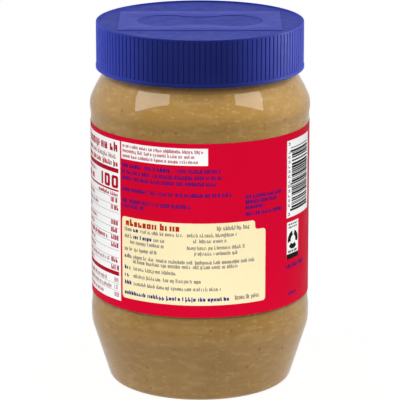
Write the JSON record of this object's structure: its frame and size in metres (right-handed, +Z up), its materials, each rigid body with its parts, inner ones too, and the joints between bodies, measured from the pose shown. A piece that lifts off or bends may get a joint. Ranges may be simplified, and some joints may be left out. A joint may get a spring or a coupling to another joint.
{
  "type": "peanut butter jar",
  "caption": "Clear jar of peanut butter with a red wrap label, a tapered foot and a ribbed blue screw lid.",
  "frame": {"origin": "centre of the flat ring that the jar stands on, at the bottom of the bounding box", "axes": "+Z up along the jar's axis; -Y is the side of the label with the facts and the recipe; +X to the right when looking at that side"},
  "size_m": [0.0988, 0.0988, 0.1653],
  "materials": {
    "clear_plastic": "clear, glossy",
    "peanut_butter": "soft, slightly oily peanut butter with fine flecks",
    "label_paper": "coated, satin, printed in fields of red, white and cream",
    "blue_plastic": "moulded, satin"
  },
  "bodies": {
    "root": {"jar": "clear_plastic", "peanut_butter": "peanut_butter", "label": "label_paper", "lid": "blue_plastic"}
  },
  "joints": []
}
